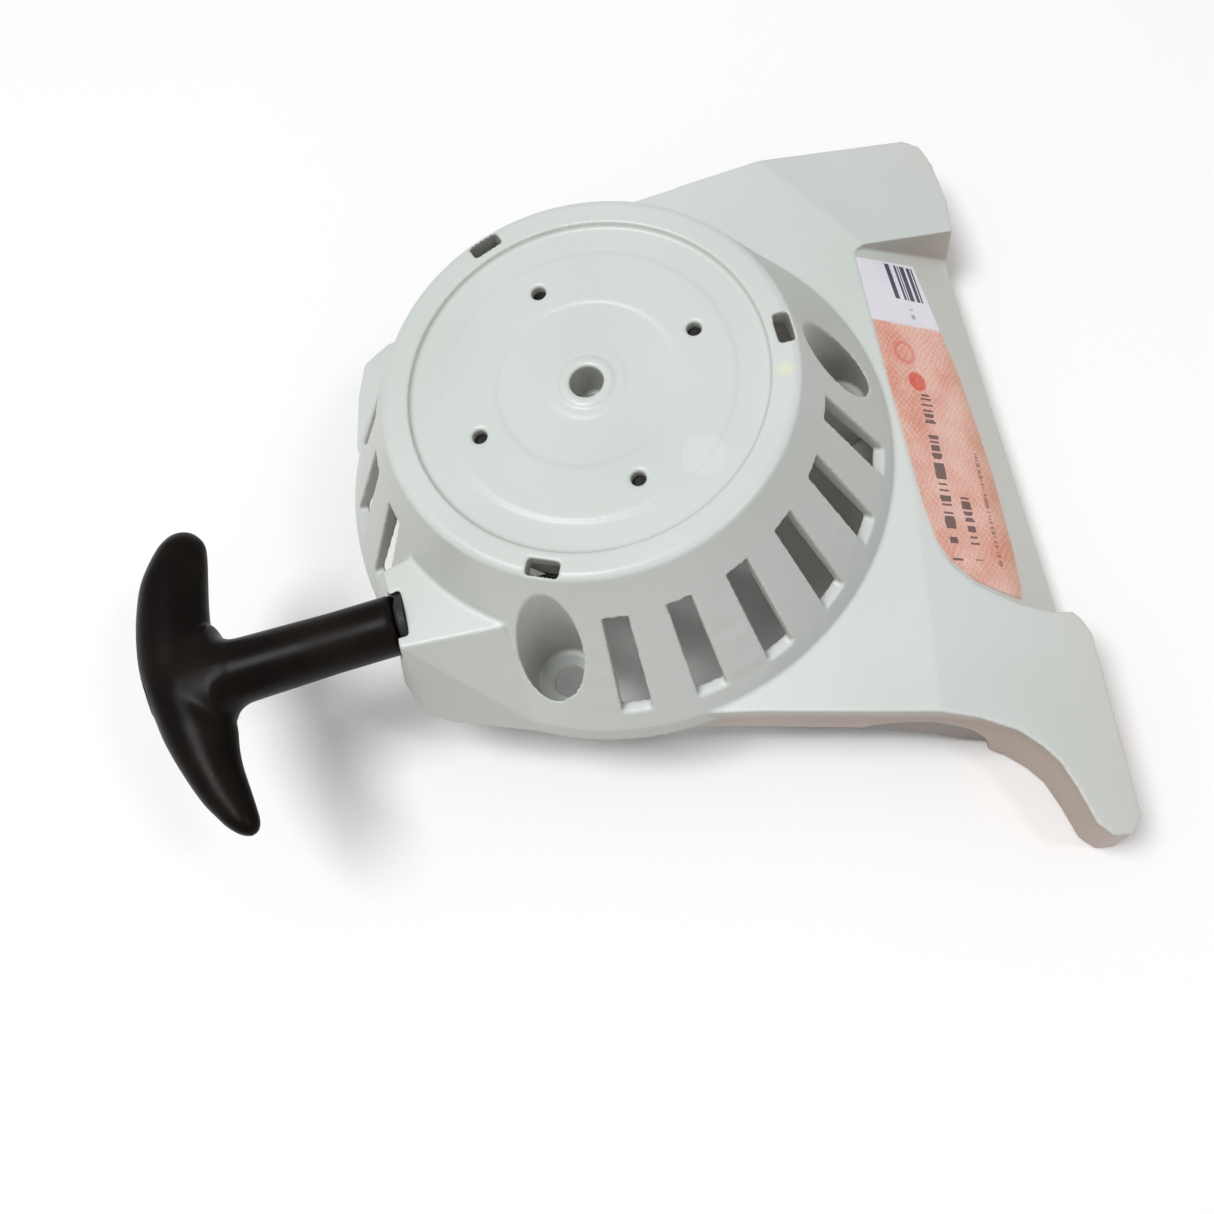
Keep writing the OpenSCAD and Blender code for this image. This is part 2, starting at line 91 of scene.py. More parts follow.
# arch under the wing's front wall: a point on its axis, the way its wall runs and its
# squared radius
ARCH = Vector((65.3, -62.2, -26.0)) * MM
ARCH_LEAN = Vector((math.cos(math.radians(-16)), math.sin(math.radians(-16))))
ARCH_R2 = (19.6 * MM) ** 2
GATE_MARK = (22.1 * MM, -27.9 * MM)
YELLOW_SPOT = (46.2 * MM, -13.2 * MM)
# the label: its start on X, its direction on the wing and the wing's slope there
LABEL_X = 78 * MM
LABEL_RUN = (4.6, 50.0)
LABEL_SLOPE = 0.76
CAMERA_AT = (9.387 * MM, -157.382 * MM, 319.679 * MM)
CAMERA_LOOK = (-0.066115, 0.349176, -0.934723)
CAMERA_UP = (0.283060, 0.904851, 0.317996)


# ---------------------------------------------------------------- settings
class CoverSettings(bpy.types.PropertyGroup):
    plastic: FloatVectorProperty(
        name="Plastic", description="Colour of the moulded cover",
        default=(0.620, 0.652, 0.628), size=3, subtype="COLOR", min=0, max=1)
    edge_cell: FloatProperty(
        name="Edge cell", description="Cell size that rounds the moulding's edges",
        default=0.45 * MM, min=0.3 * MM, max=2 * MM, unit="LENGTH")
    edge_passes: IntProperty(
        name="Edge passes", description="Smoothing passes over the moulding's edges",
        default=6, min=0, max=30)
    kept_faces: FloatProperty(
        name="Kept faces", description="Share of the rounded mesh's faces that are kept",
        default=0.3, min=0.1, max=1, subtype="FACTOR")


class GripSettings(bpy.types.PropertyGroup):
    plastic: FloatVectorProperty(
        name="Plastic", description="Colour of the grip",
        default=(0.0046, 0.0032, 0.0024), size=3, subtype="COLOR", min=0, max=1)
    bar_width: FloatProperty(
        name="Bar width", description="Thickness of the bar at its middle",
        default=20 * MM, min=12 * MM, max=30 * MM, unit="LENGTH")


class RopeSettings(bpy.types.PropertyGroup):
    fibre: FloatVectorProperty(
        name="Fibre", description="Colour of the starter rope",
        default=(0.72, 0.69, 0.60), size=3, subtype="COLOR", min=0, max=1)
    tracer: FloatVectorProperty(
        name="Tracer", description="Colour of the thread woven through the rope",
        default=(0.10, 0.14, 0.22), size=3, subtype="COLOR", min=0, max=1)


class StageSettings(bpy.types.PropertyGroup):
    floor: FloatVectorProperty(
        name="Floor", description="Colour of the floor",
        default=(0.985, 0.98, 0.97), size=3, subtype="COLOR", min=0, max=1)
    lens: FloatProperty(
        name="Lens", description="Focal length of the camera in millimetres",
        default=37.07, min=20, max=120)
    key: FloatProperty(
        name="Key light", description="Power of the soft key light",
        default=17.2, min=0, max=100, unit="POWER")


SETTINGS = {
    "starter_cover": CoverSettings,
    "starter_grip": GripSettings,
    "starter_rope": RopeSettings,
    "starter_stage": StageSettings,
}


# ---------------------------------------------------------------- shader maths
class Sock:
    """A shader socket whose arithmetic adds Math nodes."""

    def __init__(self, mat, socket):
        self.mat = mat
        self.socket = socket

    def _math(self, operation, *values):
        return self.mat.node("Math", {"operation": operation}, *values)

    def __add__(self, other):
        return self._math("ADD", self, other)

    __radd__ = __add__

    def __sub__(self, other):
        return self._math("SUBTRACT", self, other)

    def __rsub__(self, other):
        return self._math("SUBTRACT", other, self)

    def __mul__(self, other):
        return self._math("MULTIPLY", self, other)

    __rmul__ = __mul__

    def __truediv__(self, other):
        return self._math("DIVIDE", self, other)

    def __mod__(self, other):
        return self._math("FLOORED_MODULO", self, other)

    def __abs__(self):
        return self._math("ABSOLUTE", self)

    def __lt__(self, other):
        return self._math("LESS_THAN", self, other)

    def __gt__(self, other):
        return self._math("GREATER_THAN", self, other)

    def floor(self):
        return self._math("FLOOR", self)

    def sin(self):
        return self._math("SINE", self)

    def ramp(self, low, high):
        """0 below low, 1 above high and smooth between."""
        return self.mat.node("MapRange", {"interpolation_type": "SMOOTHSTEP"},
                             self, low, high, 0.0, 1.0)


class Finish:
    """A material under construction."""

    def __init__(self, name, **constants):
        self.material = bpy.data.materials.new(name + "_finish")
        self.material.use_nodes = True
        self.tree = self.material.node_tree
        self.shader = self.tree.nodes["Principled BSDF"]
        for key, value in constants.items():
            self.shader.inputs[key.replace("_", " ")].default_value = value

    def node(self, kind, settings, *values, out=0, **named):
        """Adds a node: its settings first, then values or links by place or name."""
        n = self.tree.nodes.new("ShaderNode" + kind)
        for key, value in settings.items():
            if key == "stops":
                self._stops(n, value)
            else:
                setattr(n, key, value)
        targets = [(n.inputs[i], v) for i, v in enumerate(values)]
        targets += [(n.inputs[k.replace("_", " ")], v) for k, v in named.items()]
        for target, value in targets:
            if isinstance(value, Sock):
                self.tree.links.new(value.socket, target)
            else:
                target.default_value = value
        return Sock(self, n.outputs[out])

    @staticmethod
    def _stops(n, stops):
        ramp = n.color_ramp
        while len(ramp.elements) < len(stops):
            ramp.elements.new(0.5)
        for element, (place, colour) in zip(ramp.elements, stops):
            element.position = place
            element.color = (*colour, 1)

    def place(self):
        """Position in the frame, carried with the piece."""
        return self.node("TexCoord", {}, out=3)

    def split(self, vector):
        """The three parts of a vector."""
        n = self.node("SeparateXYZ", {}, vector)
        return [Sock(self, n.socket.node.outputs[i]) for i in range(3)]

    def noise(self, vector, scale, detail):
        return self.node("TexNoise", {}, Vector=vector, Scale=scale, Detail=detail)

    def distance(self, du, dv):
        """Length of a pair of offsets."""
        return self.node("Math", {"operation": "SQRT"}, du * du + dv * dv)

    def mix(self, factor, a, b):
        """Mix of two colours."""
        n = self.tree.nodes.new("ShaderNodeMix")
        n.data_type = "RGBA"
        for i, value in ((0, factor), (6, a), (7, b)):
            if isinstance(value, Sock):
                self.tree.links.new(value.socket, n.inputs[i])
            elif i == 0:
                n.inputs[i].default_value = value
            else:
                n.inputs[i].default_value = (*value, 1) if len(value) == 3 else value
        return Sock(self, n.outputs[2])

    def feed(self, **inputs):
        for key, value in inputs.items():
            self.tree.links.new(value.socket, self.shader.inputs[key.replace("_", " ")])

    def bump(self, height, distance, strength):
        """Surface relief, its distance in metres."""
        return self.node("Bump", {}, Strength=strength, Distance=distance,
                         Height=height)


def cover_plastic():
    """Pale moulded nylon: soft gloss, fine orange peel, handling marks, with painted shade
    and painted warm bounce light.
    """
    colour = bpy.context.scene.starter_cover.plastic
    m = Finish("cover_plastic", IOR=1.5, Specular_IOR_Level=0.5,
               Coat_Weight=0.06, Coat_Roughness=0.2)
    place = m.place()
    cloud = m.noise(place, 38.0, 4.0)
    flow = m.noise(place, 9.0, 2.0)
    fine = m.noise(place, 2600.0, 2.0)
    peel = m.noise(place, 420.0, 2.0)
    pale = [min(1, c * 1.04) for c in colour]
    deep = [colour[0] * 0.93, colour[1] * 0.94, colour[2] * 0.91]
    base = m.mix(flow.ramp(0.35, 0.65), deep, pale)
    base = m.mix(cloud.ramp(0.62, 0.80) * 0.10, base, (0.56, 0.56, 0.48))
    # hairline scuffs
    scuff = m.node("TexNoise", {"noise_dimensions": "3D"}, Scale=60.0, Detail=6.0,
                   Distortion=2.5, Vector=place)
    line = abs(scuff - 0.5).ramp(0.0, 0.006)
    worn = (1 - line) * cloud.ramp(0.5, 0.7)
    base = m.mix(worn * 0.18, base, (0.78, 0.80, 0.76))
    # dust that settles where the moulding turns inwards, together with painted shade in
    # these recesses
    point = m.node("NewGeometry", {}, out=7)
    recess_dust_and_shade = (1 - point.ramp(0.40, 0.49)) * cloud.ramp(0.3, 0.7)
    base = m.mix(recess_dust_and_shade * 0.35, base, (0.30, 0.29, 0.25))
    x, y, z = m.split(place)
    # painted shade on steep sides, and painted brown shade on upright faces as if lit from
    # a wooden table below, strongest towards their lower edge and the front
    _, _, up = m.split(m.node("NewGeometry", {}, out=1))
    steep_side_shade = 1 - up.ramp(0.15, 0.80)
    upright = 1 - up.ramp(0.05, 0.30)
    low = 1 - z.ramp(-4 * MM, 10 * MM)
    base = m.mix(steep_side_shade * 0.66, base, (0.400, 0.380, 0.340))
    front = 1 - y.ramp(-85 * MM, -60 * MM)
    base = m.mix(upright * low * (0.24 + front * 0.63), base, (0.270, 0.170, 0.110))
    # painted warm brown shade on the lowest parts of the moulding, as if lit from a wooden
    # table below
    base = m.mix((1 - z.ramp(-14 * MM, 3 * MM)) * 0.30, base, (0.52, 0.42, 0.35))
    # painted shade on the inner rib, seen under the wing's arched front wall, where it
    # never sees light
    along = (x - ARCH.x) * ARCH_LEAN.x + (y - ARCH.y) * ARCH_LEAN.y
    under = along * along + (z - ARCH.z) * (z - ARCH.z)
    shade = (1 - under.ramp(0.92 * ARCH_R2, 0.99 * ARCH_R2)) * (y < -78 * MM) * upright
    base = m.mix(shade * 0.8, base, (0.085, 0.060, 0.045))
    # round gate mark on the recessed face
    gate = m.distance(x - GATE_MARK[0], y - GATE_MARK[1])
    disc = 1 - gate.ramp(5.0 * MM, 5.6 * MM)
    base = m.mix(disc * 0.22, base, (0.74, 0.77, 0.75))
    # a small faded yellow spot on the rim
    away = m.distance(x - YELLOW_SPOT[0], y - YELLOW_SPOT[1])
    spot = (1 - away.ramp(0.6 * MM, 3.0 * MM)) * (z > 50 * MM)
    base = m.mix(spot * cloud.ramp(0.3, 0.6) * 0.45, base, (0.80, 0.78, 0.42))
    rough = 0.34 + cloud.ramp(0.3, 0.7) * 0.06 + worn * 0.15 + recess_dust_and_shade * 0.25
    m.feed(Base_Color=base, Roughness=rough,
           Normal=m.bump(peel * 0.8 + fine * 0.2 + disc * 1.5, 0.02 * MM, 0.55))
    return m.material


def grip_plastic():
    """Near black moulded grip with a satin skin, polished where it is held."""
    colour = bpy.context.scene.starter_grip.plastic
    m = Finish("grip_plastic", IOR=1.5, Specular_IOR_Level=0.09)
    place = m.place()
    cloud = m.noise(place, 55.0, 4.0)
    grain = m.noise(place, 1500.0, 3.0)
    leather = m.node("TexVoronoi", {"feature": "SMOOTH_F1"}, Vector=place,
                     Scale=1100.0, Randomness=1.0)
    brown = [c * 1.9 for c in colour]
    base = m.mix(cloud.ramp(0.35, 0.7), colour, brown)
    point = m.node("NewGeometry", {}, out=7)
    edge = point.ramp(0.51, 0.60)
    base = m.mix(edge * 0.35, base, (0.014, 0.010, 0.008))
    rough = 0.30 + cloud.ramp(0.3, 0.7) * 0.12 - edge * 0.08
    m.feed(Base_Color=base, Roughness=rough,
           Normal=m.bump(grain * 0.5 + leather * 0.5, 0.03 * MM, 0.5))
    return m.material


def black_nylon():
    """Glass filled nylon of the rotor, cassette and bushing."""
    m = Finish("black_nylon", IOR=1.52, Specular_IOR_Level=0.22)
    place = m.place()
    cloud = m.noise(place, 70.0, 4.0)
    fibre = m.node("TexNoise", {}, Vector=place, Scale=900.0, Detail=5.0,
                   Distortion=1.2)
    base = m.mix(cloud.ramp(0.3, 0.7), (0.020, 0.020, 0.022), (0.036, 0.036, 0.038))
    base = m.mix(fibre.ramp(0.60, 0.72) * 0.25, base, (0.09, 0.09, 0.09))
    m.feed(Base_Color=base, Roughness=0.42 + fibre.ramp(0.3, 0.7) * 0.16,
           Normal=m.bump(fibre, 0.03 * MM, 0.5))
    return m.material


def black_rubber():
    """Soft washer between the grip and the cover."""
    m = Finish("black_rubber", IOR=1.45, Specular_IOR_Level=0.3)
    place = m.place()
    cloud = m.noise(place, 300.0, 5.0)
    base = m.mix(cloud.ramp(0.3, 0.8), (0.012, 0.012, 0.012), (0.034, 0.032, 0.030))
    m.feed(Base_Color=base, Roughness=0.70 + cloud * 0.2,
           Normal=m.bump(cloud, 0.04 * MM, 0.6))
    return m.material


def rope_fibre():
    """Braided polyamide rope: two sets of strands that cross, with a tracer thread."""
    rope = bpy.context.scene.starter_rope
    m = Finish("rope_fibre", IOR=1.5, Specular_IOR_Level=0.3, Sheen_Weight=0.25,
               Sheen_Roughness=0.5)
    uv = m.node("UVMap", {"uv_map": "UVMap"})
    along, around, _ = m.split(uv)
    turns = along * 420.0
    strands = around * 8.0
    left = turns + strands
    right = turns - strands
    ridge_a = abs((left % 1.0) - 0.5) * 2
    ridge_b = abs((right % 1.0) - 0.5) * 2
    over = ((left.floor() + right.floor()) % 2.0) < 0.5
    weave = over * (1 - ridge_a) + (1 - over) * (1 - ridge_b)
    filament = m.noise(m.place(), 3200.0, 2.0)
    # painted shade in the gaps between the strands
    strand_gap_shade = 1 - weave.ramp(0.05, 0.45)
    pale = m.mix(filament.ramp(0.3, 0.7), [c * 0.86 for c in rope.fibre],
                 list(rope.fibre))
    thread = ((left.floor() % 8.0) < 0.5) * over
    base = m.mix(thread, pale, list(rope.tracer))
    base = m.mix(strand_gap_shade * 0.75, base, (0.16, 0.14, 0.11))
    m.feed(Base_Color=base, Roughness=0.62 + filament * 0.2,
           Normal=m.bump(weave * 0.85 + filament * 0.15, 0.22 * MM, 0.8))
    return m.material


def metal(name, dark, pale, rough, scratch, oil=0.0):
    """Worn metal: clouded colour, fine scratches and an oil film."""
    m = Finish(name, Metallic=1.0)
    place = m.place()
    cloud = m.noise(place, 160.0, 5.0)
    stretch = m.node("VectorMath", {"operation": "MULTIPLY"}, place,
                     (220.0, 220.0, 2600.0))
    line = m.noise(stretch, 1.0, 3.0)
    base = m.mix(cloud.ramp(0.32, 0.68), dark, pale)
    stain = m.noise(place, 60.0, 3.0).ramp(0.5, 0.7)
    base = m.mix(stain * oil, base, (0.10, 0.075, 0.045))
    m.feed(Base_Color=base,
           Roughness=rough + line.ramp(0.35, 0.65) * scratch - stain * oil * 0.1,
           Normal=m.bump(line, 0.01 * MM, 0.4))
    return m.material


def spring_steel():
    return metal("spring_steel", (0.16, 0.18, 0.24), (0.34, 0.36, 0.42), 0.24, 0.14, 0.5)


def zinc_steel():
    return metal("zinc_steel", (0.48, 0.49, 0.50), (0.68, 0.69, 0.70), 0.26, 0.16, 0.12)


def black_steel():
    return metal("black_steel", (0.020, 0.020, 0.022), (0.05, 0.05, 0.052), 0.42, 0.2, 0.1)


def pawl_steel():
    return metal("pawl_steel", (0.20, 0.20, 0.21), (0.36, 0.36, 0.37), 0.36, 0.18, 0.4)


def bearing_bronze():
    return metal("bearing_bronze", (0.45, 0.30, 0.12), (0.66, 0.47, 0.22), 0.28, 0.14, 0.3)


def print_row(m, along, across, start, end, at, lean, tall, pitch, seed):
    """Mask of a row of plain strokes in place of print, millimetres."""
    off = abs(across - along * lean - at * MM)
    height = m.node("TexWhiteNoise", {"noise_dimensions": "2D"},
                    Vector=m.node("CombineXYZ", {}, (along / (pitch * 3 * MM)).floor(),
                                  float(seed), 0.0), out=0)
    stroke = m.node("TexWhiteNoise", {"noise_dimensions": "2D"},
                    Vector=m.node("CombineXYZ", {}, (along / (pitch * MM)).floor(),
                                  float(seed + 7), 0.0), out=0)
    inside = (along < start * MM) * (along > end * MM)
    return (off < (height * 0.35 + 0.65) * (tall / 2 * MM)) * (stroke > 0.42) * inside


def label_film():
    """Printed film: white head with plain bars, pale red security tint below."""
    m = Finish("label_film", IOR=1.48, Specular_IOR_Level=0.45, Coat_Weight=0.12,
               Coat_Roughness=0.22)
    uv = m.node("UVMap", {"uv_map": "UVMap"})
    along, across, _ = m.split(uv)
    place = m.place()
    cloud = m.noise(place, 90.0, 4.0)
    blotch = m.noise(place, 30.0, 2.0)
    speck = m.noise(place, 1300.0, 3.0)
    # security tint: a fine net of two crossing wave sets, printed unevenly
    net_a = (along * 2900.0 + (across * 700.0).sin() * 1.2).sin()
    net_b = (across * 3300.0 + (along * 620.0).sin() * 1.4).sin()
    net = (net_a * net_b).ramp(-0.35, 0.45)
    red = m.mix(net * 0.24 + cloud.ramp(0.3, 0.7) * 0.42 + speck.ramp(0.3, 0.7) * 0.20,
                (0.70, 0.245, 0.16), (0.90, 0.66, 0.56))
    red = m.mix(blotch.ramp(0.45, 0.7) * 0.35, red, (0.86, 0.66, 0.58))
    # painted brown shade where the film bends away along its outer edge
    outer = (across - along * 0.02).ramp(22.5 * MM, 31.0 * MM)
    red = m.mix(outer * 0.45, red, (0.50, 0.28, 0.17))
    white = m.mix(cloud.ramp(0.4, 0.7) * 0.3, (0.82, 0.79, 0.85), (0.66, 0.64, 0.69))
    head = (along + cloud * 0.6 * MM).ramp(20.3 * MM, 21.2 * MM)
    base = m.mix(head, red, white)
    # plain upright bars of uneven width in the head
    code = m.node("TexWhiteNoise", {"noise_dimensions": "1D"},
                  W=((across + along * 0.09) * 2300.0).floor(), out=0)
    block = (along > 29.4 * MM) * (along < 41.2 * MM) \
        * (across + along * 0.09 > 14.4 * MM) * (across + along * 0.09 < 25.4 * MM)
    base = m.mix(block * (code > 0.30) * 0.94, base, (0.030, 0.024, 0.050))
    ink = (0.050, 0.036, 0.040)
    base = m.mix(print_row(m, along, across, 26.6, 22.8, 17.0, 0.0, 1.5, 0.5, 3)
                 * (across > 12 * MM) * 0.5, base, ink)
    base = m.mix(print_row(m, along, across, -2.4, -53.4, 13.2, 0.092, 4.2, 0.62, 11)
                 * 0.82, base, ink)
    base = m.mix(print_row(m, along, across, -34.1, -53.0, 18.9, 0.053, 3.6, 0.62, 23)
                 * 0.82, base, ink)
    base = m.mix(print_row(m, along, across, -19.7, -54.3, 27.4, 0.066, 1.5, 0.42, 31)
                 * 0.55, base, (0.12, 0.05, 0.045))
    # a plain ring and a plain disc
    for at_u, at_v, r, hollow, depth in ((10.8, 9.6, 4.1, 0.70, 0.45),
                                         (1.5, 11.4, 3.3, 0.0, 0.85)):
        away = m.distance(along - at_u * MM, across - at_v * MM)
        mark = 1 - away.ramp(r * 0.86 * MM, r * MM)
        if hollow:
            mark = mark * away.ramp(r * hollow * 0.86 * MM, r * hollow * MM)
        base = m.mix(mark * depth * (0.6 + speck.ramp(0.3, 0.6) * 0.4), base,
                     (0.72, 0.050, 0.030))
    base = m.mix(speck.ramp(0.62, 0.74) * 0.25, base, (0.85, 0.76, 0.70))
    m.feed(Base_Color=base, Roughness=0.36 + cloud.ramp(0.3, 0.7) * 0.18,
           Normal=m.bump(blotch * 0.8 + speck * 0.2, 0.12 * MM, 0.35))
    return m.material


def floor_paint():
    m = Finish("floor_paint", IOR=1.4, Specular_IOR_Level=0.1)
    colour = bpy.context.scene.starter_stage.floor
    cloud = m.noise(m.place(), 3.0, 2.0)
    base = m.mix(cloud.ramp(0.3, 0.7), [c * 0.985 for c in colour], list(colour))
    m.feed(Base_Color=base, Roughness=0.75 + cloud * 0.1)
    return m.material


FINISHES = {
    "cover_plastic": cover_plastic, "grip_plastic": grip_plastic,
    "black_nylon": black_nylon, "black_rubber": black_rubber,
    "rope_fibre": rope_fibre, "spring_steel": spring_steel,
    "zinc_steel": zinc_steel, "black_steel": black_steel,
    "pawl_steel": pawl_steel,
    "bearing_bronze": bearing_bronze, "label_film": label_film,
    "floor_paint": floor_paint,
}


def finish(name):
    """The material of that name, made once."""
    key = name + "_finish"
    return bpy.data.materials.get(key) or FINISHES[name]()


# ---------------------------------------------------------------- mesh helpers
def new_piece(name, mesh, material, body):
    """Links a mesh as a piece that rides on a body, or on none."""
    piece = bpy.data.objects.new(name, mesh)
    bpy.context.scene.collection.objects.link(piece)
    mesh.materials.clear()
    mesh.materials.append(finish(material))
    mesh.polygons.foreach_set("use_smooth", [True] * len(mesh.polygons))
    if body:
        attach(piece, body)
    return piece


def evaluated(piece):
    """The piece's mesh with its modifiers applied."""
    graph = bpy.context.evaluated_depsgraph_get()
    return bpy.data.meshes.new_from_object(piece.evaluated_get(graph))


def as_mesh(bm, name):
    """The mesh of a bmesh, which is freed."""
    mesh = bpy.data.meshes.new(name)
    bm.to_mesh(mesh)
    bm.free()
    return mesh


def new_work(mesh):
    """A passing object that modifiers work on."""
    work = bpy.data.objects.new("work", mesh)
    bpy.context.scene.collection.objects.link(work)
    return work


def rounded(mesh, cell, passes, keep=1.0):
    """A copy of a closed mesh whose edges and inner corners are rounded."""
    work = new_work(mesh)
    remesh = work.modifiers.new("cells", "REMESH")
    remesh.mode = "VOXEL"
    remesh.voxel_size = cell
    remesh.use_smooth_shade = True
    smooth = work.modifiers.new("soften", "SMOOTH")
    smooth.factor = 0.5
    smooth.iterations = passes
    if keep < 1:
        thin = work.modifiers.new("thin", "DECIMATE")
        thin.ratio = keep
    result = evaluated(work)
    bpy.data.objects.remove(work)
    return result


def tube(path, radius, sides, closed=False):
    """Round tube along a path, with UVs in metres along and turns around. The radius is
    one number or a list with one for each point."""
    bm = bmesh.new()
    uv = bm.loops.layers.uv.new("UVMap")
    count = len(path)
    rings = []
    length = [0.0]
    for a, b in zip(path, path[1:]):
        length.append(length[-1] + (b - a).length)
    side = None
    for i, p in enumerate(path):
        ahead = path[(i + 1) % count] if closed or i < count - 1 else p
        behind = path[i - 1] if closed or i > 0 else p
        t = (ahead - behind).normalized()
        if side is None:
            side = t.orthogonal().normalized()
        side = (side - t * side.dot(t)).normalized()
        up = t.cross(side)
        r = radius[i] if isinstance(radius, list) else radius
        rings.append([bm.verts.new(p + r * (math.cos(k * math.tau / sides) * side
                                            + math.sin(k * math.tau / sides) * up))
                      for k in range(sides)])
    steps = count if closed else count - 1
    for i in range(steps):
        a, b = rings[i], rings[(i + 1) % count]
        for k in range(sides):
            k2 = (k + 1) % sides
            face = bm.faces.new((a[k], a[k2], b[k2], b[k]))
            marks = ((i, k), (i, k + 1), (i + 1, k + 1), (i + 1, k))
            for loop, (row, col) in zip(face.loops, marks):
                here = length[row] if row < count else length[-1]
                loop[uv].uv = (here, col / sides)
    if not closed:
        bm.faces.new(list(reversed(rings[0])))
        bm.faces.new(rings[-1])
    bmesh.ops.recalc_face_normals(bm, faces=bm.faces)
    return as_mesh(bm, "tube")


def joined(*meshes):
    """One mesh out of several."""
    bm = bmesh.new()
    for mesh in meshes:
        bm.from_mesh(mesh)
    return as_mesh(bm, "joined")


def lathe(outline, centre, steps):
    """Closed disc about the X axis from an outline of (radius, height) pairs."""
    bm = bmesh.new()
    turn = Matrix(((0, 0, 1), (0, 1, 0), (-1, 0, 0)))
    rings = []
    for i in range(steps):
        a = math.tau * i / steps
        rings.append([bm.verts.new(turn @ Vector((r * math.cos(a), r * math.sin(a), h))
                                   + centre) for r, h in outline])
    n = len(outline)
    for i in range(steps):
        a, b = rings[i], rings[(i + 1) % steps]
        for k in range(n):
            k2 = (k + 1) % n
            bm.faces.new((a[k], a[k2], b[k2], b[k]))
    bmesh.ops.remove_doubles(bm, verts=bm.verts, dist=1e-7)
    bmesh.ops.dissolve_degenerate(bm, edges=bm.edges, dist=1e-7)
    bmesh.ops.recalc_face_normals(bm, faces=bm.faces)
    return as_mesh(bm, "lathe")


def without(mesh, tool):
    """The mesh with a second closed mesh taken out of it."""
    work, knife = new_work(mesh), new_work(tool)
    cut = work.modifiers.new("cut", "BOOLEAN")
    cut.operation = "DIFFERENCE"
    cut.solver = "EXACT"
    cut.object = knife
    result = evaluated(work)
    bpy.data.objects.remove(work)
    bpy.data.objects.remove(knife)
    return result


# ---------------------------------------------------------------- pieces
class STARTER_OT_cover(bpy.types.Operator):
    """Round the edges of the moulded cover and give it its plastic"""
    bl_idname = "starter.cover"
    bl_label = "Cover"

    def execute(self, context):
        s = context.scene.starter_cover
        cell = s.edge_cell * 1
        mesh = rounded(NODES["starter_housing"].data.copy(), cell, s.edge_passes,
                       s.kept_faces)
        cover = new_piece("cover_shell", mesh, "cover_plastic", "cover")
        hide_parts("starter_housing")
        return {"FINISHED"}


class STARTER_OT_label(bpy.types.Operator):
    """Lay the printed label on the wing"""
    bl_idname = "starter.label"
    bl_label = "Label"

    def execute(self, context):
        node = NODES["label_sticker"]
        mesh = bpy.data.meshes.new_from_object(node)
        uv = mesh.uv_layers.new(name="UVMap")
        lean = Vector(LABEL_RUN).normalized()
        out = Vector((lean.y, -lean.x))
        slope = math.cos(math.atan(LABEL_SLOPE))
        for loop in mesh.loops:
            p = mesh.vertices[loop.vertex_index].co
            q = Vector((p.x - LABEL_X, p.y))
            uv.data[loop.index].uv = (q.dot(lean), q.dot(out) / slope)
        label = new_piece("label_film", mesh, "label_film", "cover")
        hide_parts("label_sticker")
        return {"FINISHED"}


# bar of the grip: distance along Y from the pull line, sweep along X from the
# bar's middle, half width; all as shares of the bar's half length
BAR = ((1.000, 0.098, 0.010), (0.990, 0.096, 0.055), (0.975, 0.093, 0.088),
       (0.930, 0.087, 0.132), (0.880, 0.077, 0.161), (0.767, 0.037, 0.193),
       (0.644, 0.003, 0.211), (0.419, -0.030, 0.222), (0.186, -0.034, 0.229),
       (0.000, -0.010, 0.231), (-0.186, 0.026, 0.224), (-0.312, 0.050, 0.216),
       (-0.442, 0.070, 0.190), (-0.553, 0.096, 0.170), (-0.651, 0.126, 0.156),
       (-0.751, 0.161, 0.139), (-0.837, 0.198, 0.117), (-0.898, 0.224, 0.100),
       (-0.944, 0.245, 0.075), (-0.975, 0.258, 0.046), (-0.990, 0.263, 0.012))


def loft(stations, sides, flat):
    """Closed body through (centre, half width) stations along Y, flattened in Z."""
    bm = bmesh.new()
    rings = []
    for centre, half in stations:
        rings.append([bm.verts.new(centre + Vector((
            half * math.cos(k * math.tau / sides), 0,
            flat * half * math.sin(k * math.tau / sides)))) for k in range(sides)])
    for a, b in zip(rings, rings[1:]):
        for k in range(sides):
            k2 = (k + 1) % sides
            bm.faces.new((a[k], a[k2], b[k2], b[k]))
    bm.faces.new(rings[0])
    bm.faces.new(rings[-1])
    bmesh.ops.recalc_face_normals(bm, faces=bm.faces)
    return as_mesh(bm, "loft")


def eased(values, steps):
    """Catmull-Rom points through rows of numbers."""
    rows = [values[0]] + list(values) + [values[-1]]
    out = []
    for i in range(1, len(rows) - 2):
        p0, p1, p2, p3 = (Vector(r) for r in rows[i - 1:i + 3])
        for k in range(steps):
            t = k / steps
            out.append(0.5 * (2 * p1 + (p2 - p0) * t
                              + (2 * p0 - 5 * p1 + 4 * p2 - p3) * t * t
                              + (3 * p1 - p0 - 3 * p2 + p3) * t ** 3))
    out.append(Vector(values[-1]))
    return out


